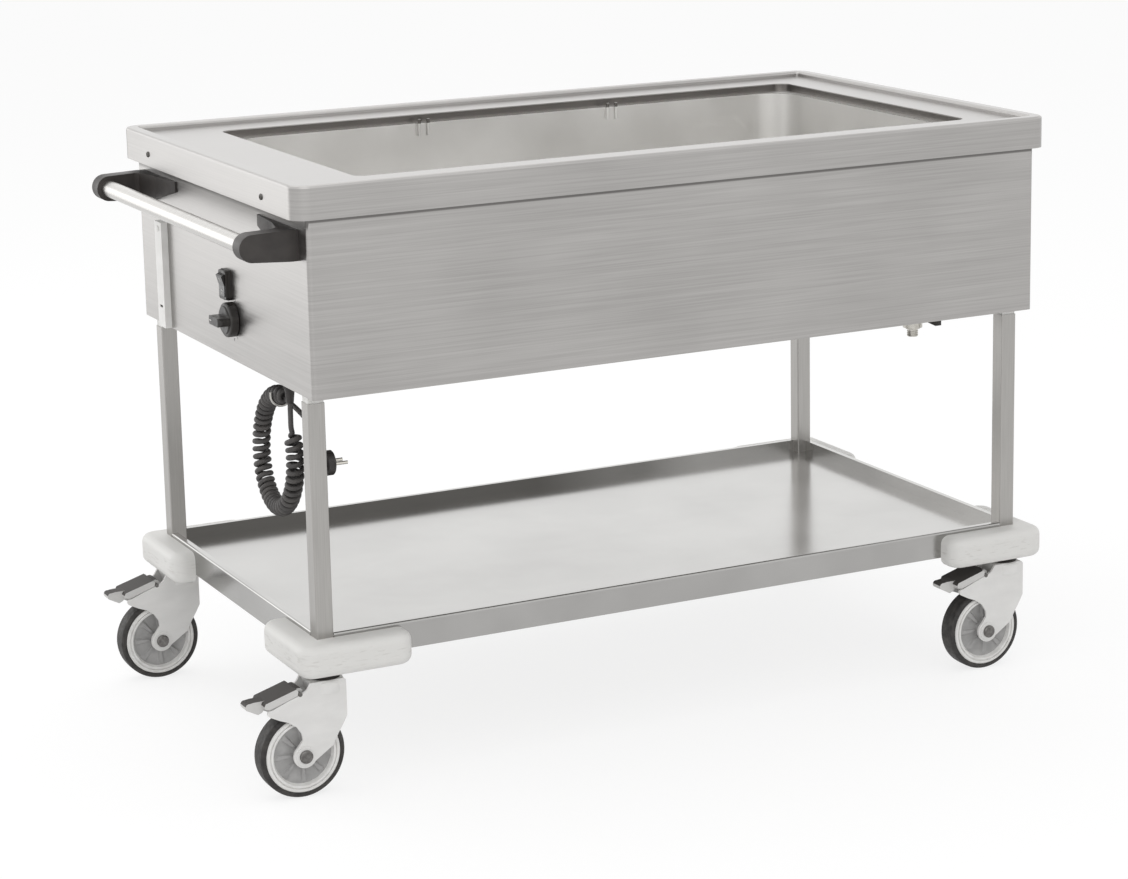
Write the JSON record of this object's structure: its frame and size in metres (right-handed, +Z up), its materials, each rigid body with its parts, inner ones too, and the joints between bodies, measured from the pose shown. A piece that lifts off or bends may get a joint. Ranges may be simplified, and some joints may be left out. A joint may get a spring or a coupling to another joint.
{
  "type": "heated food trolley",
  "caption": "Steel food trolley with a heated open well for standard pans, push handle, control knob and switch, lower shelf, corner bumpers, braked swivel castors, drain cock and coiled cord.",
  "frame": {"origin": "on the floor, under the centre of the box that holds the trolley without its cord and plug", "axes": "+X along the trolley away from the push handle, +Y from the control side's front to the rear, +Z up"},
  "size_m": [1.2974, 0.71, 0.86],
  "materials": {
    "stainless": "brushed stainless sheet, satin",
    "stainless_bright": "bright-rolled stainless, slightly blurred mirror",
    "tube_steel": "ground stainless tube, satin",
    "zinc_steel": "zinc-plated steel",
    "bright_steel": "plated, polished",
    "bumper_plastic": "light grey moulded, matt",
    "fork_plastic": "light grey glass-filled nylon, fine texture",
    "wheel_core": "mid grey polypropylene",
    "tyre_rubber": "black non-marking rubber",
    "pedal_plastic": "dark grey nylon",
    "black_plastic": "black moulded, fine texture",
    "gloss_black": "black, gloss",
    "white_plastic": "off-white moulded spacer",
    "valve_brass": "nickel-plated brass",
    "cord_rubber": "black rubber sheath, matt",
    "mineral_wool": "mineral wool board",
    "heater_steel": "heat-tinted sheath",
    "cream_plastic": "cream thermoset"
  },
  "bodies": {
    "trolley": {"top_frame": "stainless", "well_tub": "stainless_bright", "bar_guides": "stainless_bright", "housing_jacket": "stainless", "base_panel": "stainless", "channel_cover": "stainless", "lip_screws": "bright_steel", "well_lagging": "mineral_wool", "heating_element": "heater_steel", "thermostat_body": "cream_plastic", "terminal_box": "cream_plastic", "switch_frame": "black_plastic", "handle_tube": "tube_steel", "handle_bracket_front": "black_plastic", "handle_bracket_rear": "black_plastic", "leg_front_left": "tube_steel", "leg_rear_left": "tube_steel", "leg_front_right": "tube_steel", "leg_rear_right": "tube_steel", "leg_spacers": "white_plastic", "shelf_tray": "stainless_bright", "shelf_channels": "stainless", "bumper_front_left": "bumper_plastic", "bumper_rear_left": "bumper_plastic", "bumper_front_right": "bumper_plastic", "bumper_rear_right": "bumper_plastic", "castor_heads": "zinc_steel", "drain_pipe": "tube_steel", "valve_body": "valve_brass", "cable_gland": "black_plastic", "cord_lead": "cord_rubber", "cord_coil": "cord_rubber", "cord_tail": "cord_rubber", "plug": "cord_rubber", "plug_clip": "black_plastic", "cord_hook": "tube_steel"},
    "castor_front_left": {"fork_front_left": "fork_plastic", "axle_front_left": "zinc_steel"},
    "wheel_front_left": {"wheel_front_left": "wheel_core", "tyre_front_left": "tyre_rubber"},
    "brake_front_left": {"pedal_front_left": "pedal_plastic"},
    "castor_rear_left": {"fork_rear_left": "fork_plastic", "axle_rear_left": "zinc_steel"},
    "wheel_rear_left": {"wheel_rear_left": "wheel_core", "tyre_rear_left": "tyre_rubber"},
    "brake_rear_left": {"pedal_rear_left": "pedal_plastic"},
    "castor_front_right": {"fork_front_right": "fork_plastic", "axle_front_right": "zinc_steel"},
    "wheel_front_right": {"wheel_front_right": "wheel_core", "tyre_front_right": "tyre_rubber"},
    "brake_front_right": {"pedal_front_right": "pedal_plastic"},
    "castor_rear_right": {"fork_rear_right": "fork_plastic", "axle_rear_right": "zinc_steel"},
    "wheel_rear_right": {"wheel_rear_right": "wheel_core", "tyre_rear_right": "tyre_rubber"},
    "brake_rear_right": {"pedal_rear_right": "pedal_plastic"},
    "knob": {"thermostat_knob": "black_plastic"},
    "switch": {"switch_rocker": "gloss_black"},
    "drain_cock": {"valve_ball": "bright_steel", "valve_lever": "black_plastic"}
  },
  "joints": [
    {"name": "swivel_front_left", "type": "hinge", "parent": "trolley", "child": "castor_front_left", "pos_m": [-0.52875, -0.301, 0.157], "axis": [0, 0, 1], "continuous": true},
    {"name": "roll_front_left", "type": "hinge", "parent": "castor_front_left", "child": "wheel_front_left", "pos_m": [-0.56875, -0.301, 0.0625], "axis": [0, 1, 0], "continuous": true},
    {"name": "brake_front_left", "type": "hinge", "parent": "castor_front_left", "child": "brake_front_left", "pos_m": [-0.57275, -0.301, 0.152], "axis": [0, 1, 0], "range_deg": [0, 20]},
    {"name": "swivel_rear_left", "type": "hinge", "parent": "trolley", "child": "castor_rear_left", "pos_m": [-0.52875, 0.301, 0.157], "axis": [0, 0, 1], "continuous": true},
    {"name": "roll_rear_left", "type": "hinge", "parent": "castor_rear_left", "child": "wheel_rear_left", "pos_m": [-0.56875, 0.301, 0.0625], "axis": [0, 1, 0], "continuous": true},
    {"name": "brake_rear_left", "type": "hinge", "parent": "castor_rear_left", "child": "brake_rear_left", "pos_m": [-0.57275, 0.301, 0.152], "axis": [0, 1, 0], "range_deg": [0, 20]},
    {"name": "swivel_front_right", "type": "hinge", "parent": "trolley", "child": "castor_front_right", "pos_m": [0.60125, -0.301, 0.157], "axis": [0, 0, 1], "continuous": true},
    {"name": "roll_front_right", "type": "hinge", "parent": "castor_front_right", "child": "wheel_front_right", "pos_m": [0.56125, -0.301, 0.0625], "axis": [0, 1, 0], "continuous": true},
    {"name": "brake_front_right", "type": "hinge", "parent": "castor_front_right", "child": "brake_front_right", "pos_m": [0.55725, -0.301, 0.152], "axis": [0, 1, 0], "range_deg": [0, 20]},
    {"name": "swivel_rear_right", "type": "hinge", "parent": "trolley", "child": "castor_rear_right", "pos_m": [0.60125, 0.301, 0.157], "axis": [0, 0, 1], "continuous": true},
    {"name": "roll_rear_right", "type": "hinge", "parent": "castor_rear_right", "child": "wheel_rear_right", "pos_m": [0.56125, 0.301, 0.0625], "axis": [0, 1, 0], "continuous": true},
    {"name": "brake_rear_right", "type": "hinge", "parent": "castor_rear_right", "child": "brake_rear_right", "pos_m": [0.55725, 0.301, 0.152], "axis": [0, 1, 0], "range_deg": [0, 20]},
    {"name": "knob_turn", "type": "hinge", "parent": "trolley", "child": "knob", "pos_m": [-0.54725, -0.05, 0.628], "axis": [1, 0, 0], "range_deg": [0, 270]},
    {"name": "switch_rock", "type": "hinge", "parent": "trolley", "child": "switch", "pos_m": [-0.54925, -0.033, 0.676], "axis": [0, 1, 0], "range_deg": [0, 16]},
    {"name": "drain_turn", "type": "hinge", "parent": "trolley", "child": "drain_cock", "pos_m": [0.49075, -0.217, 0.543], "axis": [1, 0, 0], "range_deg": [0, 90]}
  ]
}
